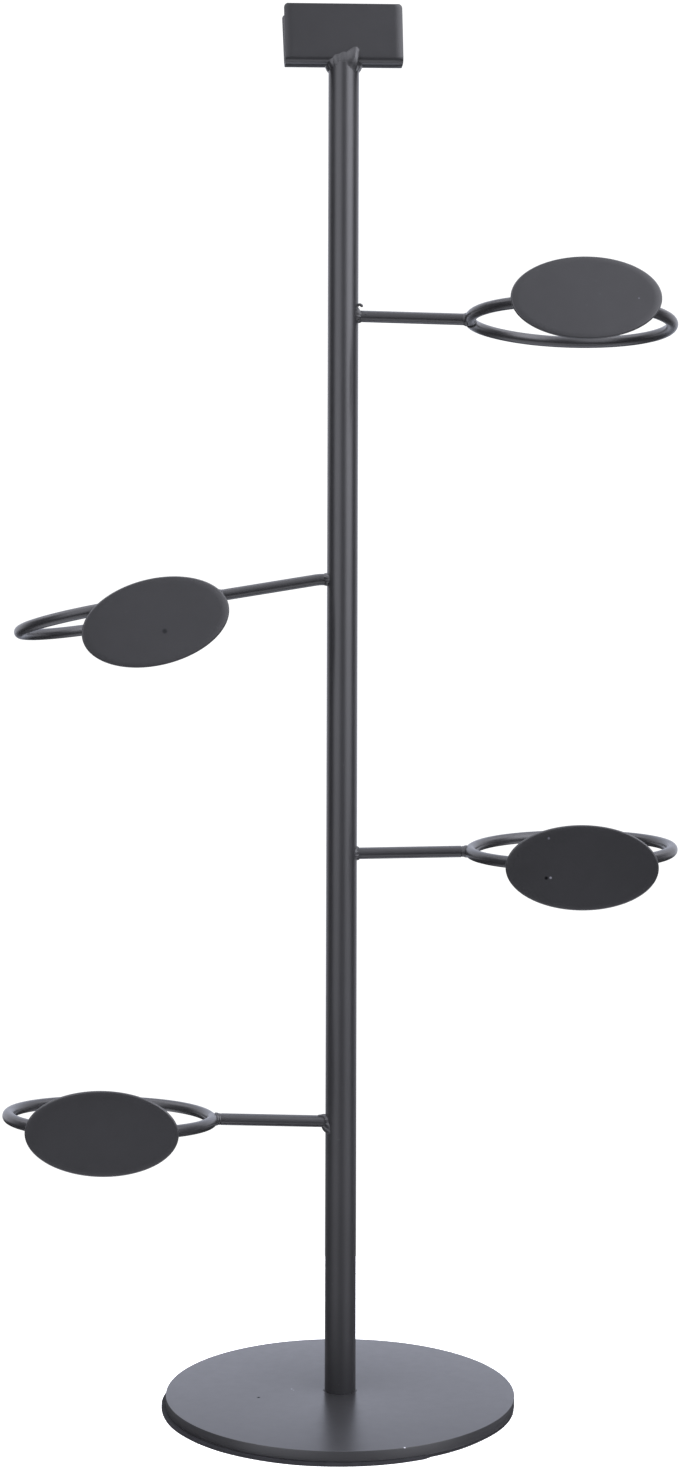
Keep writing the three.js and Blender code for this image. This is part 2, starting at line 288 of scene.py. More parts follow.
def trimmed(points):
    """Points moved inwards in proportion to their distance from the middle: at the edge by
    PAD_WAVE * sin(angle * lobes / 2)^2, and by the trim between its two angles in degrees."""
    offset = points[..., :2] - pad_centre[:2]
    degrees = np.degrees(np.arctan2(offset[..., 1], offset[..., 0]))
    step_in = np.clip((degrees - TRIM_FROM) / TRIM_STEP, 0, 1)
    ease_out = np.clip((TRIM_TO - degrees) / TRIM_EASE, 0, 1)
    wave = PAD_WAVE * np.sin(np.radians(PAD_LOBES / 2 * degrees)) ** 2
    inwards = (TRIM_DEPTH * step_in * ease_out + wave) / pad_radius
    return np.concatenate([points[..., :2] - offset * inwards[..., None], points[..., 2:]], axis=-1)


pad_top = pad_high[2]
pad_outline = np.concatenate(
    [
        [(0, 0)],
        rounded_corner((0, 0), (pad_radius, 0), (pad_radius, pad_top), PAD_EDGE_ROUND),
        rounded_corner((pad_radius, 0), (pad_radius, pad_top), (0, pad_top), PAD_EDGE_ROUND),
        [(0, pad_top)],
    ]
)
pad_points = trimmed(turned_points(pad_outline, PAD_SEGMENTS, pad_centre))
foam_pad = finished_piece("foam_pad", [grid_mesh("foam_pad", pad_points)], "base_pad")

# %% [markdown]
# ### Upright
# Powder pools in the corner at the foot of the tube, and thickest at its two sides, so a hollow
# fillet smaller than a millimetre runs round it.

# %% Upright
POST_SEGMENTS = 128
POST_EDGE_ROUND = 0.25 * MM
FILLET_REACH = 0.25 * MM
FILLET_AT_SIDES = 0.7 * MM
FILLET_FOCUS = 12
FILLET_ROWS = 8
FILLET_IN_TUBE = 0.1 * MM
FILLET_LIFT = 0.02 * MM


def foot_fillet():
    """A hollow quarter circle from the plate up to the tube, whose radius is FILLET_REACH plus
    FILLET_AT_SIDES * |cos(angle)|^FILLET_FOCUS, closed by a line of points inside the tube's wall."""
    angle = np.linspace(0, 2 * np.pi, POST_SEGMENTS, endpoint=False)[:, None]
    step = np.linspace(0, np.pi / 2, FILLET_ROWS)[None, :]
    reach = FILLET_REACH + FILLET_AT_SIDES * np.abs(np.cos(angle)) ** FILLET_FOCUS
    radius = POST_RADIUS - FILLET_IN_TUBE + reach * (1 - np.sin(step))
    height = POST_BOTTOM + FILLET_LIFT + reach * (1 - np.cos(step))
    inside = np.ones_like(angle)
    radius = np.concatenate([radius, (POST_RADIUS - 5 * FILLET_IN_TUBE) * inside], axis=1)
    height = np.concatenate([height, (POST_BOTTOM + 3 * FILLET_IN_TUBE) * inside], axis=1)
    points = np.stack([radius * np.cos(angle), radius * np.sin(angle), height], axis=-1)
    return grid_mesh("foot_fillet", points, join_rows=True)


tube_corners = [
    (POST_INSIDE, POST_BOTTOM),
    (POST_RADIUS, POST_BOTTOM),
    (POST_RADIUS, POST_TOP),
    (POST_INSIDE, POST_TOP),
]
tube_mesh = turned("upright", rounded_outline(tube_corners, POST_EDGE_ROUND), POST_SEGMENTS)
upright = finished_piece("upright", [tube_mesh, foot_fillet()], "post_tube")

# %% [markdown]
# ## Rod pieces: arms and hoops
# Arms and hoops are all bent from one rod. A rod is a circle carried along a line, so one function
# places the circle's points with two directions that stand square to the line at every step. A cut
# end is a row that shrinks a little for the broken edge and then a row of no radius at all.

# %% A rod along a line
ROD_SIDES = 32


def rod_surface(name, centres, first, second, radii, sides=ROD_SIDES):
    """Circles along a line: centre + radius * (cos(a) * first + sin(a) * second) for each row."""
    angle = np.linspace(0, 2 * np.pi, sides, endpoint=False)
    across, upward = np.cos(angle)[None, :, None], np.sin(angle)[None, :, None]
    around = across * first[:, None, :] + upward * second[:, None, :]
    return grid_mesh(name, centres[:, None, :] + radii[:, None, None] * around)


def cut_ends(steps, length, radius, bevel):
    """Places along a rod and its radius there, with a bevel and a flat cut at both ends."""
    middle = np.linspace(bevel, length - bevel, steps)
    places = np.concatenate([[0, 0], middle, [length, length]])
    radii = np.concatenate([[0, radius - bevel], np.full(steps, radius), [radius - bevel, 0]])
    return places, radii


# %% Measures of the arms
ARM_NUMBERS = (1, 2, 3, 4)
END_DEPTH = 1.0 * MM


def measure_ring(node):
    """Centre, upward normal, radius of the line and radius of the rod of a hoop. The centre is
    where every corner's mean distance fits best, by least squares on x^2 + y^2 = 2ax + 2by + c."""
    points = corners(node)
    normal = main_axes(points)[2]
    normal = normal if normal[2] > 0 else -normal
    middle = points.mean(0)
    east = unit(np.cross([0.0, 1.0, 0.0], normal))
    north = np.cross(normal, east)
    x, y, height = (points - middle) @ east, (points - middle) @ north, (points - middle) @ normal
    flat = np.stack([2 * x, 2 * y, np.ones_like(x)], axis=-1)
    a, b, _ = np.linalg.lstsq(flat, x**2 + y**2, rcond=None)[0]
    level = (height.min() + height.max()) / 2
    centre = middle + a * east + b * north + level * normal
    distance = np.hypot(x - a, y - b)
    rod = (height.max() - height.min()) / 2
    return centre, normal, distance.max() - rod, rod


def measure_arm(number):
    """Everything the smooth pieces of one arm need, as a dictionary of points and directions."""
    centre, normal, radius, rod = measure_ring(f"ring_{number}")
    start = np.array([0.0, 0.0, centre @ normal / normal[2]])
    out = unit(centre - start)
    front = np.cross(normal, out)
    front = front if front[1] < 0 else -front
    rod_corners = corners(f"arm_rod_{number}")
    level_out = unit(np.array([out[0], out[1], 0.0]))
    nearest, furthest = spread_along(rod_corners, level_out)
    root = rod_corners[rod_corners @ level_out < nearest + END_DEPTH].mean(0)
    tip = rod_corners[rod_corners @ level_out > furthest - END_DEPTH].mean(0)
    return {
        "centre": centre, "up": normal, "radius": radius, "rod": rod, "start": start, "out": out,
        "front": front, "level_out": level_out, "root": root, "tip": tip,
    }


arm_measures = {number: measure_arm(number) for number in ARM_NUMBERS}
for number, arm in arm_measures.items():
    root_mm, centre_mm = np.round(arm["root"] / MM, 1), np.round(arm["centre"] / MM, 1)
    line_mm, rod_mm = round(arm["radius"] / MM, 2), round(arm["rod"] / MM, 2)
    print(f"arm {number}: root {root_mm}, hoop centre {centre_mm}, radii {line_mm} and {rod_mm}")

# %% [markdown]
# ### Arms
# A straight arm's line runs from inside the tube's wall, where the weld holds it, to the neck. The
# second arm leaves level and is bent down just outside the upright. Its root and its line are known,
# so the corner is where the level line through the root meets the line of the outer part, and the
# bend is the same curve as a rounded corner.

# %% Arms
SINK_INTO_POST = 0.6 * MM
ROD_BEVEL = 0.5 * MM
BEND_STEPS = 12
BEND_SHARE = 0.6
BENT_IF_OFF = 0.1 * MM


def is_bent(arm):
    """An arm is bent if its root lies off the line of its outer part."""
    return abs((arm["root"] - arm["start"]) @ arm["up"]) > BENT_IF_OFF


def arm_line(arm):
    """The points of an arm's centre line, from the upright to its tip."""
    if not is_bent(arm):
        return np.stack([arm["root"] - arm["out"] * SINK_INTO_POST, arm["tip"]])
    to_root = arm["root"] - arm["start"]
    # Solve root + s * level_out = start + t * out for s, in the upright plane that holds both.
    sides = np.stack([arm["level_out"], -arm["out"]], axis=-1)
    s, _ = np.linalg.lstsq(sides, -to_root, rcond=None)[0]
    corner = arm["root"] + s * arm["level_out"]
    inner = arm["root"] - arm["level_out"] * SINK_INTO_POST
    t = np.linspace(0, 1, BEND_STEPS)[:, None]
    reach = s * BEND_SHARE
    begin, end = corner - arm["level_out"] * reach, corner + arm["out"] * reach
    bend = (1 - t) ** 2 * begin + 2 * t * (1 - t) * corner + t**2 * end
    return np.concatenate([[inner], bend, [arm["tip"]]])


def make_arm(number, arm):
    """An arm as a rod with a cut root, inside the weld, and a bevelled tip."""
    line = arm_line(arm)
    along = unit(np.gradient(line, axis=0))
    tip_way = along[-1]
    rows = np.concatenate([line[:1], line[:-1], [line[-1] - tip_way * ROD_BEVEL], line[-1:], line[-1:]])
    ways = np.concatenate([along[:1], along[:-1], [tip_way], [tip_way], [tip_way]])
    full = np.full(len(line), arm["rod"])
    radii = np.concatenate([[0], full, [arm["rod"] - ROD_BEVEL, 0]])
    second = np.broadcast_to(arm["front"], ways.shape)
    first = unit(np.cross(second, ways))
    mesh = rod_surface(f"arm_{number}", rows, first, second, radii)
    return finished_piece(f"arm_{number}", [mesh], f"arm_rod_{number}")


arm_pieces = [make_arm(number, arm) for number, arm in arm_measures.items()]

# %% [markdown]
# ### Hoops
# A hoop is rolled from a straight length, so it has two cut ends, and they meet at the arm with a
# narrow slit between them. The end that comes round the back springs down a little. Its line is a
# circle whose height falls away over its last few degrees.

# %% Hoops
HOOP_STEPS = 176
SLIT = 2.0 * MM
PAST_ARM = 2.0 * MM
SPRING_DROP = 0.7 * MM
SPRING_SPAN = math.radians(50)


def make_hoop(number, arm):
    """The angle starts at the arm and runs round the front of the hoop to the far end."""
    begin = -PAST_ARM / arm["radius"]
    end = 2 * np.pi - (PAST_ARM + SLIT) / arm["radius"]
    places, radii = cut_ends(HOOP_STEPS, (end - begin) * arm["radius"], arm["rod"], ROD_BEVEL)
    angle = begin + places / arm["radius"]
    outward = -np.cos(angle)[:, None] * arm["out"] + np.sin(angle)[:, None] * arm["front"]
    near_end = np.clip((angle - (end - SPRING_SPAN)) / SPRING_SPAN, 0, 1)
    centres = arm["centre"] + arm["radius"] * outward - (SPRING_DROP * near_end**2)[:, None] * arm["up"]
    second = np.broadcast_to(arm["up"], outward.shape)
    mesh = rod_surface(f"hoop_{number}", centres, outward, second, radii)
    return finished_piece(f"hoop_{number}", [mesh], f"ring_{number}")


hoop_pieces = [make_hoop(number, arm) for number, arm in arm_measures.items()]

# %% [markdown]
# ## Oval plates
# The plates are cut from thin sheet. Each is an ellipse whose rim is rounded over, and the round
# is the only thing that separates it from a paper cut-out. The surface is a set of smaller and
# smaller ellipses: across the back, round the rim, and back across the front.

# %% Oval plates
OVAL_SEGMENTS = 144
RIM_STEPS = 8
FACE_RINGS = 10


def measure_plate(node):
    """Middle, long axis, short axis, forward normal and half sizes of an oval plate."""
    points = corners(node)
    long_axis, short_axis, normal = main_axes(points)
    normal = normal if normal[1] < 0 else -normal
    short_axis = short_axis if short_axis[2] > 0 else -short_axis
    long_axis = np.cross(short_axis, normal)
    halves = [np.ptp(points @ axis) / 2 for axis in (long_axis, short_axis, normal)]
    places = [sum(spread_along(points, axis)) / 2 for axis in (long_axis, short_axis, normal)]
    middle = places[0] * long_axis + places[1] * short_axis + places[2] * normal
    return middle, long_axis, short_axis, normal, halves


def make_oval(number):
    """Each row is an ellipse, inset from the rim and raised: inset and height follow a half circle
    round the rim, then the inset grows to the middle."""
    middle, long_axis, short_axis, normal, (half_long, half_short, half_thick) = measure_plate(
        f"label_plate_{number}"
    )
    turn_round = np.linspace(-np.pi / 2, np.pi / 2, RIM_STEPS)
    rim_inset = half_thick * (1 - np.cos(turn_round))
    rim_height = half_thick * np.sin(turn_round)
    inwards = np.linspace(1, 0, FACE_RINGS + 1)[1:]
    share = np.concatenate([inwards[::-1], np.ones(RIM_STEPS), inwards])
    inset = np.concatenate([np.full(FACE_RINGS, half_thick), rim_inset, np.full(FACE_RINGS, half_thick)])
    height = np.concatenate([np.full(FACE_RINGS, -half_thick), rim_height, np.full(FACE_RINGS, half_thick)])
    angle = np.linspace(0, 2 * np.pi, OVAL_SEGMENTS, endpoint=False)
    across = (share * (half_long - inset))[:, None, None] * np.cos(angle)[None, :, None] * long_axis
    upward = (share * (half_short - inset))[:, None, None] * np.sin(angle)[None, :, None] * short_axis
    points = middle + across + upward + height[:, None, None] * normal
    mesh = grid_mesh(f"oval_plate_{number}", points)
    return finished_piece(f"oval_plate_{number}", [mesh], f"label_plate_{number}")


oval_pieces = [make_oval(number) for number in ARM_NUMBERS]

# %% [markdown]
# ## Card channel
# The channel is one strip of sheet, folded twice, with the back wall leaning away. So its surface is
# the strip's own thin section, a rectangle with round edges, carried along the fold line from the
# front's top edge, under the floor and up to the back's top edge. The strip narrows over its last
# millimetres along a quarter circle, which gives the round corners, and its thickness closes over
# the last fraction of a millimetre.

# %% Card channel
CHANNEL_BEND = 2.75 * MM
CHANNEL_CORNER = 2.3 * MM
SHEET = 1.5 * MM
SHEET_EDGE = 0.35 * MM
WIDTH_STEPS = 16
FLAT_STEPS = 10
END_STEPS = 14

channel_corners = corners("sign_channel")
channel_long = unit(main_axes(channel_corners)[0])
channel_x = channel_long if channel_long[0] > 0 else -channel_long
across_channel = unit(np.cross(channel_x, [0.0, 0.0, 1.0]))
channel_z = unit(np.cross(across_channel, channel_x))
channel_z = channel_z if channel_z[2] > 0 else -channel_z
channel_y = np.cross(channel_z, channel_x)
low_z, high_z = spread_along(channel_corners, channel_z)
front_y, back_y = spread_along(channel_corners, channel_y)
channel_height = high_z - low_z
channel_width = np.ptp(channel_corners @ channel_x)
on_floor = channel_corners @ channel_z < low_z + 2 * LEVEL_TOLERANCE
floor_y = spread_along(channel_corners[on_floor], channel_y)
CHANNEL_HALF = sum(floor_y) / 2 - front_y
channel_foot = (
    sum(spread_along(channel_corners, channel_x)) / 2 * channel_x
    + sum(floor_y) / 2 * channel_y
    + low_z * channel_z
)
outer_bend = CHANNEL_BEND + SHEET / 2
top_depth = back_y - sum(floor_y) / 2
channel_sizes = [channel_width, channel_height, 2 * CHANNEL_HALF, top_depth + CHANNEL_HALF]
print("channel width, height, depth at the floor and at the top:", np.round(np.array(channel_sizes) / MM, 2))


def back_lean():
    """The angle of the leaning wall: its outer face touches the bend's circle and meets the top edge
    at top_depth. With run and rise from the circle's middle to that edge, the face's direction is
    that of the edge seen from the middle, turned by the angle whose sine is bend / distance."""
    run, rise = top_depth - (CHANNEL_HALF - outer_bend), channel_height - outer_bend
    return math.atan2(run, rise) - math.asin(outer_bend / math.hypot(run, rise))


def wall_line(lean):
    """Middle of one half of the folded strip seen from the side, as (depth, height), its outward
    normals, and each point's distance from the strip's end: down the wall, then round the bend."""
    middle = np.array([CHANNEL_HALF - outer_bend, outer_bend])
    up_wall = np.array([math.sin(lean), math.cos(lean)])
    outward = np.array([math.cos(lean), -math.sin(lean)])
    start = middle + CHANNEL_BEND * outward
    wall = (channel_height - start[1]) / math.cos(lean)
    near_end = (1 - np.cos(np.linspace(0, np.pi / 2, END_STEPS))) * CHANNEL_CORNER
    from_end = np.concatenate([near_end, np.linspace(CHANNEL_CORNER, wall, FLAT_STEPS)[1:]])
    flat = start + (wall - from_end)[:, None] * up_wall
    angle = np.linspace(-lean, -np.pi / 2, FLAT_STEPS)[1:]
    around = np.stack([np.cos(angle), np.sin(angle)], axis=-1)
    line = np.concatenate([flat, middle + CHANNEL_BEND * around])
    normals = np.concatenate([np.tile(outward, (len(flat), 1)), around])
    return line, normals, np.concatenate([from_end, np.full(len(angle), wall)])


def fold_line():
    """The upright front half, turned to face the other way, and then the leaning back half."""
    front, front_normals, front_ends = wall_line(0.0)
    back, back_normals, back_ends = wall_line(back_lean())
    mirror = np.array([-1.0, 1.0])
    line = np.concatenate([front * mirror, back[::-1]])
    normals = np.concatenate([front_normals * mirror, back_normals[::-1]])
    return line, normals, np.concatenate([front_ends, back_ends[::-1]])


def strip_section():
    """The strip's outline as shares: of the half width, of the edge round, and of the half
    thickness. It goes over the outer face, round one edge, back under and round the other."""
    across = np.linspace(1, -1, WIDTH_STEPS)
    angle = np.linspace(np.pi / 2, 3 * np.pi / 2, RIM_STEPS)[1:-1]
    flat, none = np.ones(WIDTH_STEPS), np.zeros(WIDTH_STEPS)
    width = np.concatenate([across, -np.ones(len(angle)), across[::-1], np.ones(len(angle))])
    edge = np.concatenate([none, np.cos(angle), none, -np.cos(angle)])
    thick = np.concatenate([flat, np.sin(angle), -flat, -np.sin(angle)])
    return width, edge, thick


def make_channel():
    line, normals, from_end = fold_line()
    into_corner = np.clip(CHANNEL_CORNER - from_end, 0, None)
    narrowing = CHANNEL_CORNER - np.sqrt(np.clip(CHANNEL_CORNER**2 - into_corner**2, 0, None))
    into_edge = np.clip(SHEET_EDGE - from_end, 0, SHEET_EDGE) / SHEET_EDGE
    closing = np.sqrt(1 - into_edge**2)
    width, edge, thick = strip_section()
    half_width = channel_width / 2 - SHEET_EDGE - narrowing
    across = half_width[:, None] * width + SHEET_EDGE * edge
    offset = (SHEET / 2 * closing)[:, None] * thick
    depth = line[:, 0:1] + offset * normals[:, 0:1]
    height = line[:, 1:2] + offset * normals[:, 1:2]
    points = (
        channel_foot
        + across[..., None] * channel_x
        + depth[..., None] * channel_y
        + height[..., None] * channel_z
    )
    mesh = grid_mesh("card_channel", points)
    return finished_piece("card_channel", [mesh], "sign_channel")


card_channel = make_channel()

# %% [markdown]
# ## Weld beads
# A bead is a small amount of steel that ran into a corner and froze. It has two toes, one on each
# part, a slightly crowned face between them, and shallow ripples where the arc paused. So a bead is
# worked out from its toes: the face is a line from one toe to the other, raised in the middle, and
# a last line of points lies inside the metal and closes the bead. Coating softens it, but the
# crease at each toe and the lumps of a bead made by hand still show.

# %% Fillet beads
FACE_STEPS = 14
RIPPLE_PITCH = 1.7 * MM
TOE_SINK = 0.05 * MM
BEAD_ROOT = 0.7 * MM


def bead_mesh(name, toe_a, toe_b, crown, inside, feather=1):
    """Face points are (1-t) * toe_a + t * toe_b + (4t(1-t))^feather * crown for t from 0 to 1, then
    inside. A feather of 2 lets the face run out flat at its toes."""
    t = np.linspace(0, 1, FACE_STEPS)[None, :, None]
    face = (1 - t) * toe_a[:, None] + t * toe_b[:, None] + (4 * t * (1 - t)) ** feather * crown[:, None]
    return grid_mesh(name, np.concatenate([face, inside[:, None]], axis=1), join_rows=True)


def lumps(angle, places):
    """The sum of smooth bumps given as (degrees, width in degrees, size): each is
    size * exp(-(distance / width)^2), with the distance taken the short way round."""
    total = np.zeros_like(angle)
    for degrees, width, size in places:
        away = np.angle(np.exp(1j * (angle - math.radians(degrees))))
        total += size * np.exp(-((away / math.radians(width)) ** 2))
    return total


def unsteady(angle, seed, waves=7):
    """A repeatable wobble between about -1 and 1: a few sines whose phases come from the seed."""
    phase = np.random.default_rng(seed).uniform(0, 2 * np.pi, waves)
    order = np.arange(2, 2 + waves)
    return (np.sin(order * angle[:, None] + phase) / np.sqrt(order)).sum(axis=1) / 1.8


def ripples(angle, length):
    """Bead ripples: a steep side and a slow side, one ripple each RIPPLE_PITCH of the length."""
    turns = max(4, round(length / RIPPLE_PITCH))
    return np.sin(turns * angle + 0.5 * np.sin(turns * angle))


# %% [markdown]
# ### Beads between arms and upright
# The rod meets the tube on a saddle-shaped line, so the toe on the tube is found by sliding each
# point along the arm until it touches the tube. The other toe lies along the rod. The beads were made
# from the front, so they are fatter there, and no two of them are alike: the first left a curl of
# wire on the tube above the rod, the second and third are small and clean, and the fourth sagged
# down the tube. Angles run from 0 on top to 90 at the front, and sizes are in millimetres.

# %% Root beads
ROOT_BEAD_ROWS = 160
ROOT_STYLES = {
    1: {"spread": 0.55, "reach": 1.4, "crown": 0.2, "post": [(20, 30, 0.9), (110, 40, 0.4)],
        "rod": [(95, 50, 0.9), (0, 30, -0.6)]},
    2: {"spread": 0.3, "reach": 1.5, "crown": 0.14, "post": [(90, 45, 1.4)], "rod": [(60, 60, 0.5)]},
    3: {"spread": 0.6, "reach": 1.1, "crown": 0.22, "post": [(90, 40, 0.6)], "rod": [(110, 40, 0.5)]},
    4: {"spread": 0.7, "reach": 1.2, "crown": 0.35, "post": [(142, 34, 3.7), (60, 30, 0.6)],
        "rod": [(5, 45, 1.6), (150, 30, 0.9)]},
}


def slide_to_post(points, direction, radius):
    """Points moved along the direction until they are the radius away from the upright's axis."""
    across, way = points[:, :2], direction[:2]
    a, b = way @ way, across @ way
    c = (across**2).sum(axis=1) - radius**2
    steps = (-b + np.sqrt(b**2 - a * c)) / a
    return points + steps[:, None] * direction


def root_bead(number, arm):
    """The bead's mesh, and the place and the two directions from which its drops are placed."""
    style = ROOT_STYLES[number]
    way = arm["level_out"] if is_bent(arm) else arm["out"]
    upward = np.cross(arm["front"], way)
    upward = unit(upward if upward[2] > 0 else -upward)
    axis_point = arm["root"] - way * ((arm["root"] @ arm["level_out"]) / (way @ arm["level_out"]))
    angle = np.linspace(0, 2 * np.pi, ROOT_BEAD_ROWS, endpoint=False)
    ray = np.cos(angle)[:, None] * upward + np.sin(angle)[:, None] * arm["front"]
    wave = ripples(angle, 2 * np.pi * arm["rod"])
    wobble = unsteady(angle, number)
    spread = (style["spread"] * (1 + 0.2 * wobble) + lumps(angle, style["post"])) * (1 + 0.05 * wave) * MM
    reach = (style["reach"] * (1 - 0.2 * wobble) + lumps(angle, style["rod"])) * (1 + 0.07 * wave) * MM
    crown = style["crown"] * (1 + 0.35 * wave + 0.25 * wobble) * MM
    on_both = slide_to_post(axis_point + arm["rod"] * ray, way, POST_RADIUS)
    wide = axis_point + (arm["rod"] + spread)[:, None] * ray
    toe_post = slide_to_post(wide, way, POST_RADIUS - TOE_SINK)
    toe_rod = on_both + reach[:, None] * way - TOE_SINK * ray
    face_way = unit(reach[:, None] * ray + spread[:, None] * way)
    inside = on_both - BEAD_ROOT * way - BEAD_ROOT * ray
    mesh = bead_mesh(f"root_bead_{number}", toe_post, toe_rod, crown[:, None] * face_way, inside)
    return mesh, axis_point, way, upward


# %% Drops of spatter
DROP_ROWS = 20
DROP_COLUMNS = 28
CURL_STEPS = 24


def drop_mesh(name, middle, first, second, third, sizes):
    """A lumpy ball: middle + sizes * directions, with latitude rows and longitude columns."""
    latitude = np.linspace(-np.pi / 2, np.pi / 2, DROP_ROWS)[:, None, None]
    longitude = np.linspace(0, 2 * np.pi, DROP_COLUMNS, endpoint=False)[None, :, None]
    lump = 1 + 0.08 * np.sin(2 * longitude + 1) * np.cos(latitude)
    across = np.cos(latitude) * np.cos(longitude) * sizes[0] * first
    along = np.cos(latitude) * np.sin(longitude) * sizes[1] * second
    return grid_mesh(name, middle + lump * (across + along + np.sin(latitude) * sizes[2] * third))


def curl_mesh(name, middle, first, second, radius, thickness):
    """A drop that froze as it curled over: a thick line along most of a circle, from below on the
    tube's side over the top, and thickest at its free end."""
    share = np.linspace(0, 1, CURL_STEPS)
    angle = np.radians(215 - 225 * share)
    ray = np.cos(angle)[:, None] * first + np.sin(angle)[:, None] * second
    end_round = np.sqrt(np.clip(1 - np.clip((share - 0.85) / 0.15, 0, 1) ** 2, 0, 1))
    radii = thickness * (0.75 + 0.35 * share) * end_round
    radii[0] = 0
    across = np.broadcast_to(np.cross(first, second), ray.shape)
    return rod_surface(name, middle + radius * ray, ray, across, radii)


def drops(number, arm, axis_point, way, upward):
    """What lies beside a root bead. Places are millimetres along the arm from the tube's surface,
    upwards and towards the front, and sizes are along the arm, to the front and upwards."""

    def beside(along, up, front):
        return axis_point + (POST_RADIUS + along * MM) * way + up * MM * upward + front * MM * arm["front"]

    def drop(place, sizes):
        return drop_mesh("drop", place, way, arm["front"], upward, np.array(sizes) * MM)

    if number == 1:
        curl = curl_mesh("curl", beside(0.55, 4.7, 1.2), way, upward, 1.15 * MM, 0.75 * MM)
        return [curl, drop(beside(3.6, 0.5, 2.88), (1.2, 0.2, 0.6))]
    if number == 4:
        return [drop(beside(2.4, 2.8, 0.5), (1.9, 1.3, 0.75))]
    return []


root_bead_pieces = []
for number, arm in arm_measures.items():
    bead, *placing = root_bead(number, arm)
    meshes = [bead, *drops(number, arm, *placing)]
    piece = finished_piece(f"root_bead_{number}", meshes, f"arm_root_weld_{number}")
    root_bead_pieces.append(piece)

# %% [markdown]
# ### Necks between arms and hoops
# The hoop touches the end of its arm at one spot, so the weld is a short neck, turned about the
# arm's line. The first was dressed smooth and is as thick as the rod. The others are a little
# thinner than the rod, with one raised ridge.

# %% Necks
NECK_SIDES = 40
NECK_ROWS = 28
NECK_WAISTS = {1: 1.005, 2: 0.97, 3: 0.9, 4: 0.95}
NECK_RIDGES = {1: 0.0, 2: 0.16 * MM, 3: 0.16 * MM, 4: 0.16 * MM}
NECK_RIDGE_WIDTH = 0.35 * MM
NECK_START = -1.0 * MM
NECK_INTO_HOOP = 1.6 * MM
NECK_FLARE = 0.5 * MM
NECK_FLARE_LENGTH = 1.2 * MM


def neck(number, arm):
    """Radius along the neck: a waist, a ridge a third of the way along and a flare at the hoop."""
    gap = (arm["centre"] - arm["out"] * (arm["radius"] + arm["rod"]) - arm["tip"]) @ arm["out"]
    along = np.linspace(NECK_START, gap + NECK_INTO_HOOP, NECK_ROWS)
    ridge = NECK_RIDGES[number] * np.exp(-(((along - 0.35 * gap) / NECK_RIDGE_WIDTH) ** 2))
    flare = NECK_FLARE * np.clip((along - 0.5 * gap) / NECK_FLARE_LENGTH, 0, 1)
    radii = NECK_WAISTS[number] * arm["rod"] + ridge + flare
    along = np.concatenate([along[:1], along, along[-1:]])
    radii = np.concatenate([[0], radii, [0]])
    centres = arm["tip"] + along[:, None] * arm["out"]
    first = np.broadcast_to(arm["up"], centres.shape)
    second = np.broadcast_to(arm["front"], centres.shape)
    mesh = rod_surface(f"neck_{number}", centres, first, second, radii, NECK_SIDES)
    return finished_piece(f"neck_{number}", [mesh], f"ring_weld_{number}")


neck_pieces = [neck(number, arm) for number, arm in arm_measures.items()]

# %% [markdown]
# ### Beads behind the plates
# Each plate is held by a bead above the hoop's rod and one below it. They follow the hoop's curve,
# taper to both ends and show only from behind and from the side.

# %% Plate beads
PLATE_BEAD_ROWS = 60
PLATE_BEAD_SIDES = 24


def plate_bead(number, arm, side):
    """The node's own middle and length give the bead. Its line is the hoop's arc through them."""
    node = f"plate_weld_{side}_{number}"
    points = corners(node)
    along = main_axes(points)[0]
    low, high = spread_along(points, along)
    middle = points.mean(0)
    from_centre = middle - arm["centre"]
    height = from_centre @ arm["up"]
    flat = from_centre - height * arm["up"]
    radius = np.linalg.norm(flat)
    first = flat / radius
    second = np.cross(arm["up"], first)
    half_angle = (high - low) / 2 / radius
    share = np.linspace(-1, 1, PLATE_BEAD_ROWS)
    angle = share * half_angle
    outward = np.cos(angle)[:, None] * first + np.sin(angle)[:, None] * second
    thickness = min(np.ptp(points @ first), np.ptp(points @ arm["up"])) / 2
    taper = np.sqrt(np.clip(1 - share**6, 0, 1))
    wave = 1 + 0.06 * ripples(np.pi * share, high - low) + 0.05 * unsteady(np.pi * share, 10 + number)
    radii = thickness * taper * wave
    centres = arm["centre"] + radius * outward + height * arm["up"]
    up_rows = np.broadcast_to(arm["up"], outward.shape)
    mesh = rod_surface(f"plate_bead_{side}_{number}", centres, outward, up_rows, radii, PLATE_BEAD_SIDES)
    return finished_piece(f"plate_bead_{side}_{number}", [mesh], node)


plate_bead_pieces = [
    plate_bead(number, arm, side) for number, arm in arm_measures.items() for side in ("upper", "lower")
]

# %% [markdown]
# ### Bead under the channel
# The channel's floor is narrower than the tube, so at the sides the bead lies under the floor, and at
# the front and back it climbs round the folds onto the walls. The toe on the channel is worked out on
# the unfolded strip and then wrapped round the fold. On the right of the front a careless restart
# left a rough patch a few millimetres tall, and on the left a slight one.

# %% Top bead
TOP_BEAD_ROWS = 240
TOP_BEAD_SEED = 21
TOP_BEAD_WAVES = 14
TOP_STYLE_CHANNEL = [
    (-90, 26, 1.1), (-63, 8, 4.6), (-52, 7, 3.4), (-74, 6, 1.6), (-122, 9, 0.5),
    (0, 36, 1.6), (180, 36, 1.6), (90, 40, 2.2),
]
TOP_STYLE_POST = [(-90, 34, 2.8), (-50, 16, 2.6), (0, 45, 2.4), (180, 45, 2.4), (90, 45, 2.6)]
TOP_STYLE_CROWN = [(-100, 30, 0.6), (-60, 20, 1.5), (90, 50, 1.25)]


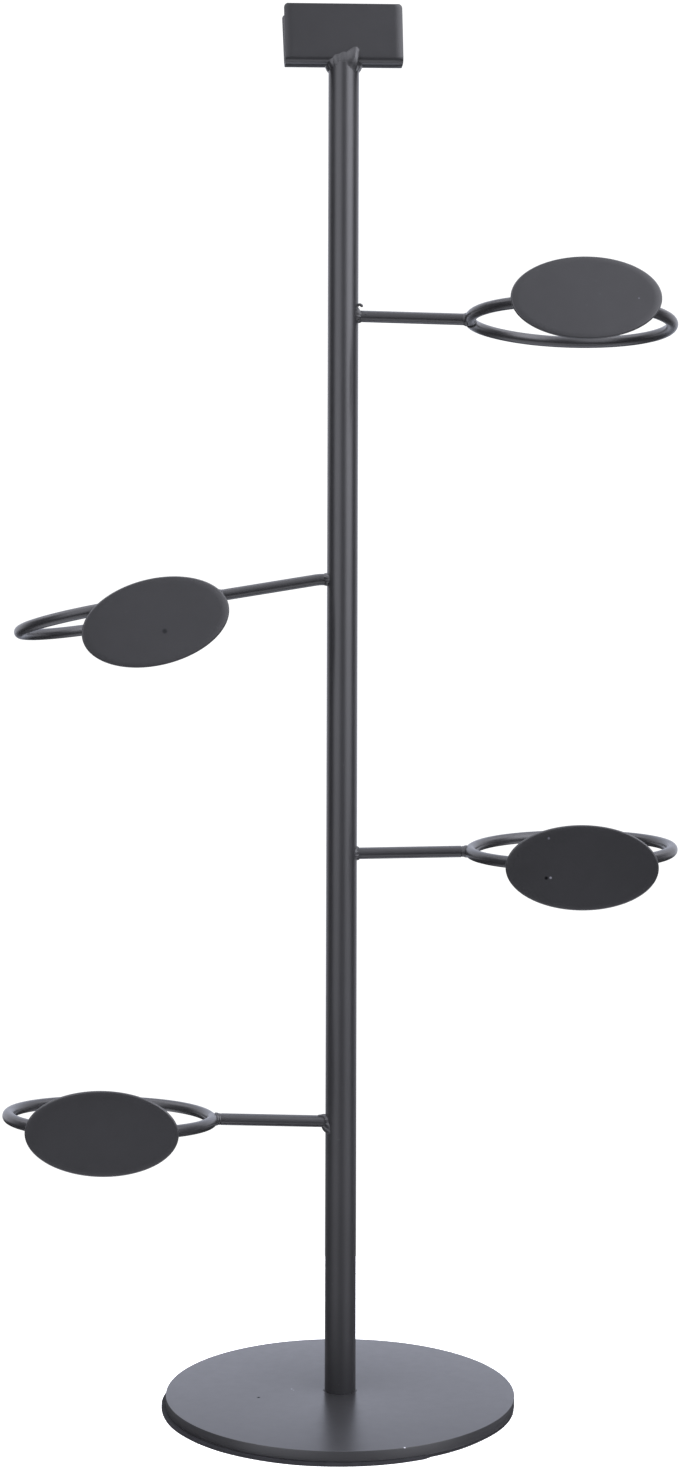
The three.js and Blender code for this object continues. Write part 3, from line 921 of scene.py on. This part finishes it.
def wrap_on_channel(x, unfolded):
    """A point on the outside of the channel: across by x, and along the strip's own outside from the
    middle of the floor, first flat, then round the fold's arc, then up the wall."""
    flat = CHANNEL_HALF - outer_bend
    past = np.clip(np.abs(unfolded) - flat, 0, None)
    last = np.where(unfolded > 0, np.pi / 2 - back_lean(), np.pi / 2)
    angle = np.clip(past / outer_bend, 0, last)
    climb = np.clip(past - outer_bend * last, 0, None)
    sideways = np.minimum(np.abs(unfolded), flat) + outer_bend * np.sin(angle) + climb * np.cos(last)
    depth = np.sign(unfolded) * sideways
    height = outer_bend * (1 - np.cos(angle)) + climb * np.sin(last)
    point = channel_foot + x[:, None] * channel_x + depth[:, None] * channel_y + height[:, None] * channel_z
    outward = np.cos(angle)[:, None] * -channel_z + (np.sign(unfolded) * np.sin(angle))[:, None] * channel_y
    return point, outward


def top_bead():
    """A bead round the tube's top. Its angle is 0 on the right and -90 at the front, and its styles
    are how far it spreads on the channel, drops down the tube and swells between them, in mm."""
    angle = np.linspace(0, 2 * np.pi, TOP_BEAD_ROWS, endpoint=False)
    wave = ripples(angle, 2 * np.pi * POST_RADIUS)
    wobble = unsteady(angle, TOP_BEAD_SEED, TOP_BEAD_WAVES)
    spread = (0.45 + 0.25 * wobble + lumps(angle, TOP_STYLE_CHANNEL)) * (1 + 0.02 * wave) * MM
    drop = (1.0 + 0.3 * wobble + lumps(angle, TOP_STYLE_POST)) * (1 + 0.02 * wave) * MM
    ray = np.cos(angle)[:, None] * channel_x + np.sin(angle)[:, None] * channel_y
    reach = POST_RADIUS + spread
    toe_channel, outward = wrap_on_channel(reach * np.cos(angle), reach * np.sin(angle))
    level = unit(ray[:, :2])
    toe_height = (channel_foot[2] - drop)[:, None]
    toe_post = np.concatenate([level * (POST_RADIUS - TOE_SINK), toe_height], axis=1)
    crown_way = unit(outward + np.concatenate([level, np.zeros((len(angle), 1))], axis=1))
    crown = (0.2 + 0.03 * wave + 0.08 * wobble + lumps(angle, TOP_STYLE_CROWN)) * MM
    below = np.full((len(angle), 1), POST_TOP - POST_EDGE_ROUND - TOE_SINK)
    inside = np.concatenate([level * (POST_RADIUS - BEAD_ROOT - 2 * TOE_SINK), below], axis=1)
    mesh = bead_mesh("top_bead", toe_channel, toe_post, crown[:, None] * crown_way, inside, feather=1.5)
    return finished_piece("top_bead", [mesh], "sign_channel_weld")


top_bead_piece = top_bead()

# %% [markdown]
# ## Materials
# A small function adds a node with its settings and its links, and another turns a hex colour into
# the linear values that Blender works in.

# %% Material helpers
def linear(hex_colour):
    """sRGB hex to linear: c / 12.92 below 0.04045, ((c + 0.055) / 1.055) ^ 2.4 above it."""
    parts = np.array([int(hex_colour[i:i + 2], 16) for i in (1, 3, 5)]) / 255
    values = np.where(parts <= 0.04045, parts / 12.92, ((parts + 0.055) / 1.055) ** 2.4)
    return (*values.tolist(), 1.0)


def add_node(tree, kind, inputs=None, **settings):
    """A node with its settings; each input is given a value or is linked to another node's socket."""
    node = tree.nodes.new(kind)
    for name, value in settings.items():
        setattr(node, name, value)
    for socket, value in (inputs or {}).items():
        if isinstance(value, bpy.types.NodeSocket):
            tree.links.new(value, node.inputs[socket])
        else:
            node.inputs[socket].default_value = value
    return node


def new_material(name):
    """An empty material with its output, the object's coordinates in metres, and its tree."""
    material = bpy.data.materials.new(name)
    material.use_nodes = True
    tree = material.node_tree
    tree.nodes.clear()
    output = add_node(tree, "ShaderNodeOutputMaterial")
    place = add_node(tree, "ShaderNodeTexCoord").outputs["Object"]
    return material, tree, output, place


def per_metre(millimetres):
    """A pattern's scale for features of that size."""
    return 1 / (millimetres * MM)


def put_on(material, pieces):
    for piece in pieces:
        piece.data.materials.clear()
        piece.data.materials.append(material)
    print(material.name, "on", len(pieces), "pieces")


# %% [markdown]
# ### Satin black powder coat
# The steel is coated with polyester powder, sprayed dry and baked until it flows. Flow is never
# perfect, so the film keeps a faint orange peel, about a millimetre from crest to crest, that makes
# the edge of every highlight waver. Here it is drawn three times as coarse, so that it shows. It is a
# plastic film, so it isn't metallic and its IOR is near 1.5. The satin sheen is a roughness near 0.3
# that varies a little, and handling leaves faint clouds and some dust that bring the colour up
# slightly. On the upright the gloss falls towards its foot, a painted shade for the dark corner there.

# %% Powder coat
COAT_BLACK = "#272728"
COAT_RUBBED = "#4a4a4e"
ORANGE_PEEL = 3.0
CLOUDS = 60.0
DUST = 3.0
COAT_ROUGHNESS = 0.31
COAT_IOR = 1.5
COAT_GLOSS = 0.5
# The next two give painted shade at the upright's foot: the low gloss there, and the height over which the
# gloss comes back to full.
FOOT_SHADE_GLOSS = 0.1
FOOT_SHADE_HEIGHT = 50 * MM
# A mix node keeps sockets for every kind of data, so its colour sockets are taken by number.
MIX_FACTOR, MIX_A, MIX_B, MIX_RESULT = 0, 6, 7, 2


def noise(tree, place, size, detail=3.0, roughness=0.55):
    """Noise whose features are about size millimetres across."""
    settings = {"Vector": place, "Scale": per_metre(size), "Detail": detail, "Roughness": roughness}
    return add_node(tree, "ShaderNodeTexNoise", settings).outputs["Fac"]


def remap(tree, value, low, high, to_low, to_high):
    """The part of value between low and high, stretched to lie between to_low and to_high."""
    settings = {"Value": value, "From Min": low, "From Max": high, "To Min": to_low, "To Max": to_high}
    return add_node(tree, "ShaderNodeMapRange", settings).outputs["Result"]


def blend_colour(tree, factor, first, second):
    """first where factor is 0 and second where it is 1."""
    mix = add_node(tree, "ShaderNodeMix", data_type="RGBA")
    for socket, value in ((MIX_FACTOR, factor), (MIX_A, first), (MIX_B, second)):
        if isinstance(value, bpy.types.NodeSocket):
            tree.links.new(value, mix.inputs[socket])
        else:
            mix.inputs[socket].default_value = value
    return mix.outputs[MIX_RESULT]


def bumped(tree, height, distance, strength=1.0, normal=None):
    """A bump whose full height is distance millimetres, on top of another one if given."""
    settings = {"Height": height, "Distance": distance * MM, "Strength": strength}
    if normal is not None:
        settings["Normal"] = normal
    return add_node(tree, "ShaderNodeBump", settings).outputs["Normal"]


def coated_steel(name, marks=(), lumpy=0.0, shade_below=None):
    """Powder coat with clouds, dust and orange peel. Each mark is a small rubbed or dark spot: its
    place in metres, radius in millimetres, hex colour and gloss. Lumpy adds a weld's waves. Given
    two heights for the shade, the gloss is low below the first and full above the second: painted shade."""
    material, tree, output, place = new_material(name)
    clouds = noise(tree, place, CLOUDS)
    dust = remap(tree, noise(tree, place, DUST, 4.0, 0.7), 0.68, 0.82, 0.0, 0.6)
    cloudy = remap(tree, clouds, 0.4, 0.7, 0.0, 0.06)
    colour = blend_colour(tree, cloudy, linear(COAT_BLACK), linear(COAT_RUBBED))
    colour = blend_colour(tree, dust, colour, linear(COAT_RUBBED))
    gloss = COAT_GLOSS
    # Painted shade: below the given heights the gloss falls, which darkens the surface the way a corner's
    # shade does.
    if shade_below is not None:
        height = add_node(tree, "ShaderNodeSeparateXYZ", {"Vector": place}).outputs["Z"]
        gloss = remap(tree, height, *shade_below, FOOT_SHADE_GLOSS, COAT_GLOSS)
    for centre, radius, hex_colour, mark_gloss in marks:
        away = add_node(tree, "ShaderNodeVectorMath", {0: place, 1: centre}, operation="DISTANCE")
        spot = remap(tree, away.outputs["Value"], 0.4 * radius * MM, radius * MM, 1.0, 0.0)
        colour = blend_colour(tree, spot, colour, linear(hex_colour))
        change = {0: spot, 1: mark_gloss - COAT_GLOSS, 2: gloss}
        gloss = add_node(tree, "ShaderNodeMath", change, operation="MULTIPLY_ADD").outputs[0]
    roughness = remap(tree, noise(tree, place, 6.0), 0.3, 0.7, COAT_ROUGHNESS - 0.01, COAT_ROUGHNESS + 0.02)
    normal = bumped(tree, noise(tree, place, ORANGE_PEEL, 2.0), 0.012)
    if lumpy:
        normal = bumped(tree, noise(tree, place, 1.1, 3.0, 0.6), lumpy, 1.0, normal)
    shader = add_node(
        tree, "ShaderNodeBsdfPrincipled",
        {
            "Base Color": colour, "Roughness": roughness, "Normal": normal,
            "IOR": COAT_IOR, "Specular IOR Level": gloss,
        },
    )
    tree.links.new(shader.outputs["BSDF"], output.inputs["Surface"])
    return material


powder_coat = coated_steel("satin black powder coat")
put_on(powder_coat, [card_channel, *arm_pieces, *hoop_pieces])
# The upright gets painted shade: its gloss falls towards the foot, where it meets the base.
foot_shade_heights = (base_high, base_high + FOOT_SHADE_HEIGHT)
foot_shaded_coat = coated_steel("satin black powder coat, painted shade at the foot", shade_below=foot_shade_heights)
put_on(foot_shaded_coat, [upright])

# %% [markdown]
# ### Marks on flat faces
# The plates and the base are flat, so the eye finds every fault on them. They get a few small marks
# from handling: pale nicks, and dull dark pits on the base, the second plate and the third.

# %% Marked plates and base
base_marks = [
    ((-0.0415, -0.0120, base_high), 1.3, "#141416", 0.0),
    ((-0.0250, 0.0015, base_high), 0.7, "#7c7c82", 0.5),
    ((-0.0240, -0.0003, base_high), 0.6, "#68686e", 0.5),
    ((0.0306, -0.0838, base_high), 0.6, "#b4b4ba", 0.5),
]
marked_base = coated_steel("satin black powder coat on the base", base_marks)
put_on(marked_base, [base_disc])


def plate_point(number, across, upward):
    """A place on a plate's front, in millimetres from its middle."""
    middle, long_axis, short_axis, normal, halves = measure_plate(f"label_plate_{number}")
    return tuple(middle + across * MM * long_axis + upward * MM * short_axis + halves[2] * normal)


plate_marks = [
    (plate_point(1, 25.6, -0.8), 0.6, "#515157", 0.5),
    (plate_point(2, 3.0, -5.6), 1.6, "#1c1c1e", 0.25),
    (plate_point(3, -17.3, -5.0), 1.1, "#0c0c0e", 0.0),
    (plate_point(3, -15.2, -4.8), 0.8, "#6e6e74", 0.5),
    (plate_point(3, -16.0, 15.0), 0.8, "#505056", 0.5),
]
marked_plates = coated_steel("satin black powder coat on the plates", plate_marks)
put_on(marked_plates, oval_pieces)

# %% [markdown]
# ### Coated weld
# The same powder lies on the welds, but a rough bead shows through it, so waves about a millimetre
# long and much deeper than the orange peel lie over the shape of each bead.

# %% Coated weld
coated_weld = coated_steel("powder coat over weld beads", lumpy=0.12)
put_on(coated_weld, [*root_bead_pieces, *neck_pieces, *plate_bead_pieces, top_bead_piece])

# %% [markdown]
# ### Foam pad
# The pad is black EVA foam, cut from sheet. Cells of about half a millimetre, cut open at the edge,
# make it grainy and swallow most of the light that falls on it, so it has almost no gloss.

# %% Foam
FOAM_CELL = 0.6
FOAM_GLOSS = 0.15

foam, tree, output, place = new_material("black EVA foam")
cells = add_node(tree, "ShaderNodeTexVoronoi", {"Vector": place, "Scale": per_metre(FOAM_CELL)})
cell_depth = cells.outputs["Distance"]
foam_colour = blend_colour(
    tree, remap(tree, noise(tree, place, 8.0), 0.3, 0.7, 0.0, 0.5), linear("#1e1e20"), linear("#2b2b2e")
)
shader = add_node(
    tree, "ShaderNodeBsdfPrincipled",
    {
        "Base Color": foam_colour,
        "Roughness": remap(tree, cell_depth, 0.0, 0.7, 0.85, 0.7),
        "Normal": bumped(tree, cell_depth, 0.06),
        "IOR": 1.45,
        "Specular IOR Level": FOAM_GLOSS,
    },
)
tree.links.new(shader.outputs["BSDF"], output.inputs["Surface"])
put_on(foam, [foam_pad])

# %% [markdown]
# ### Zinc-plated fasteners
# The screw under the base and the threaded plug in the tube are bought parts with a bright zinc
# coat. Zinc is a metal, so its colour is that of its reflection, and the crystals of the plating
# give it a slightly uneven gloss.

# %% Zinc
zinc, tree, output, place = new_material("bright zinc plating")
zinc_cloud = noise(tree, place, 1.5, 4.0, 0.65)
shader = add_node(
    tree, "ShaderNodeBsdfPrincipled",
    {
        "Base Color": blend_colour(tree, zinc_cloud, linear("#a9adb3"), linear("#c6cad0")),
        "Metallic": 1.0,
        "Roughness": remap(tree, zinc_cloud, 0.3, 0.7, 0.26, 0.4),
        "Normal": bumped(tree, zinc_cloud, 0.01),
    },
)
tree.links.new(shader.outputs["BSDF"], output.inputs["Surface"])
for node in ("base_screw", "post_threaded_plug"):
    for material_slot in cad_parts[node].material_slots:
        material_slot.material = zinc
print("zinc on the carried-over nodes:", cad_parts["base_screw"].material_slots[0].material.name)

# %% [markdown]
# ## Light
# A black satin object is drawn by what it reflects, so the light is a room of soft boxes placed by
# direction: a strong one to the right, a weaker one to the left, a dim front, dark gaps at both sides
# that give the rods their dark edges, a white wall behind that lights the rims, and a light ceiling
# and floor. Each box is a product of smooth steps of azimuth and elevation. Azimuth is 0 towards the
# camera and grows to the right. Rays that come straight from the camera see plain white.

# %% Room of soft boxes
world = bpy.data.worlds.new("studio")
bpy.context.scene.world = world
world.use_nodes = True
sky = world.node_tree
sky.nodes.clear()


def world_math(operation, first, second=0.0):
    return add_node(sky, "ShaderNodeMath", {0: first, 1: second}, operation=operation).outputs[0]


def soft_step(value, place, softness):
    """0 below place, 1 above it, with an S-shaped change over twice the softness."""
    settings = {"Value": value, "From Min": place - softness, "From Max": place + softness}
    return add_node(sky, "ShaderNodeMapRange", settings, interpolation_type="SMOOTHSTEP").outputs["Result"]


def band(value, low, high, softness):
    """1 between low and high, fading softly outside them."""
    above = soft_step(value, low, softness)
    below = world_math("SUBTRACT", 1.0, soft_step(value, high, softness))
    return world_math("MULTIPLY", above, below)


direction = add_node(sky, "ShaderNodeTexCoord").outputs["Generated"]
parts = add_node(sky, "ShaderNodeSeparateXYZ", {"Vector": direction}).outputs
azimuth = world_math("ARCTAN2", parts["X"], world_math("MULTIPLY", parts["Y"], -1.0))
elevation = world_math("ARCSINE", parts["Z"])
from_front = world_math("ABSOLUTE", azimuth)

# Each box: measure, azimuth from and to, softness, elevation from and to, softness, strength.
SOFT_BOXES = [
    (azimuth, -64, -15, 12, -4, 60, 8, 1.6),
    (azimuth, 27, 74, 13, 3, 60, 14, 4.0),
    (azimuth, -64, -15, 12, -20, 60, 4, 1.0),
    (azimuth, 27, 74, 13, -20, 60, 4, 1.1),
    (azimuth, -16, 30, 10, -6, 70, 10, 0.36),
    (azimuth, -16, 30, 10, 31, 70, 6, 0.42),
    (from_front, 114, 200, 16, -10, 80, 8, 1.15),
    (from_front, 65, 125, 12, 32, 75, 8, 2.4),
    (azimuth, -200, 200, 1, 62, 95, 12, 1.6),
    (azimuth, -200, 200, 1, -95, -45, 8, 1.7),
]
DARKEST = 0.02
CAMERA_WHITE = 1.1
light = DARKEST
for measure, az_low, az_high, az_soft, el_low, el_high, el_soft, strength in SOFT_BOXES:
    sideways = band(measure, math.radians(az_low), math.radians(az_high), math.radians(az_soft))
    upwards = band(elevation, math.radians(el_low), math.radians(el_high), math.radians(el_soft))
    box_light = world_math("MULTIPLY", world_math("MULTIPLY", sideways, upwards), strength)
    light = world_math("ADD", light, box_light)
FRONT_TINT = (0.97, 0.975, 1.07, 1.0)
BACK_TINT = (0.93, 0.97, 1.14, 1.0)
towards_back = soft_step(from_front, math.radians(150), math.radians(20))
tint = blend_colour(sky, towards_back, FRONT_TINT, BACK_TINT)
room = add_node(sky, "ShaderNodeBackground", {"Color": tint, "Strength": light})
white = add_node(sky, "ShaderNodeBackground", {"Color": (1.0, 1.0, 1.0, 1.0), "Strength": CAMERA_WHITE})
seen = add_node(sky, "ShaderNodeLightPath").outputs["Is Camera Ray"]
both = add_node(sky, "ShaderNodeMixShader", {0: seen, 1: room.outputs[0], 2: white.outputs[0]})
add_node(sky, "ShaderNodeOutputWorld", {"Surface": both.outputs[0]})
bpy.context.scene.view_settings.view_transform = "Standard"
print(len(SOFT_BOXES), "soft boxes")

# %% [markdown]
# ## Floor
# A white paper disc, well wider than the base, is bright enough that no edge of it shows against the
# white room, and it throws soft light up under the hoops. Reflections pass through it and see the
# room, whose front is dark low down.

# %% Floor
FLOOR_RADIUS = 0.30
FLOOR_SEGMENTS = 128
FLOOR_THICKNESS = 0.004

floor_top = cad_box[0][2]
floor_under = floor_top - FLOOR_THICKNESS
floor_outline = np.array(
    [(0, floor_under), (FLOOR_RADIUS, floor_under), (FLOOR_RADIUS, floor_top), (0, floor_top)]
)
floor_mesh = turned("floor", floor_outline, FLOOR_SEGMENTS, join_rows=False)
floor = bpy.data.objects.new("floor", floor_mesh)
bpy.context.scene.collection.objects.link(floor)
floor.visible_glossy = False
paper, tree, output, place = new_material("white paper")
shader = add_node(
    tree, "ShaderNodeBsdfPrincipled",
    {
        "Base Color": (0.85, 0.85, 0.85, 1.0), "Roughness": 0.9,
        "Emission Color": (1.0, 1.0, 1.0, 1.0), "Emission Strength": 0.75,
    },
)
tree.links.new(shader.outputs["BSDF"], output.inputs["Surface"])
floor.data.materials.append(paper)
print("floor at", round(floor_top / MM, 2), "mm")

# %% Sizes and finish
print("packed box", np.round(cad_box, 5).tolist())
